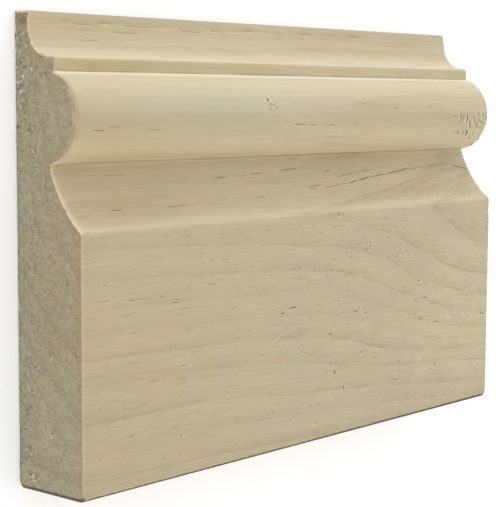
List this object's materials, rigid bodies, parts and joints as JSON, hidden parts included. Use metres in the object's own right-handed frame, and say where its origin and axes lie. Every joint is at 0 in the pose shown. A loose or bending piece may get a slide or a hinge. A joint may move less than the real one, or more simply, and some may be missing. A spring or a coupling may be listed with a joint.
{
  "type": "skirting board length",
  "caption": "Short length of moulded softwood skirting board with a flat back, a plain face, and a scoop, round torus, fillet and cove along its top edge.",
  "frame": {"origin": "middle of the flat back, on the surface the board lies on", "axes": "+X along the board's length, +Y from its bottom edge to its moulded top edge, +Z out of its front face"},
  "size_m": [0.22, 0.145, 0.029],
  "materials": {
    "unfinished_pine": "planed and unfinished, with sawn ends"
  },
  "bodies": {
    "root": {"skirting_board": "unfinished_pine"}
  },
  "joints": []
}
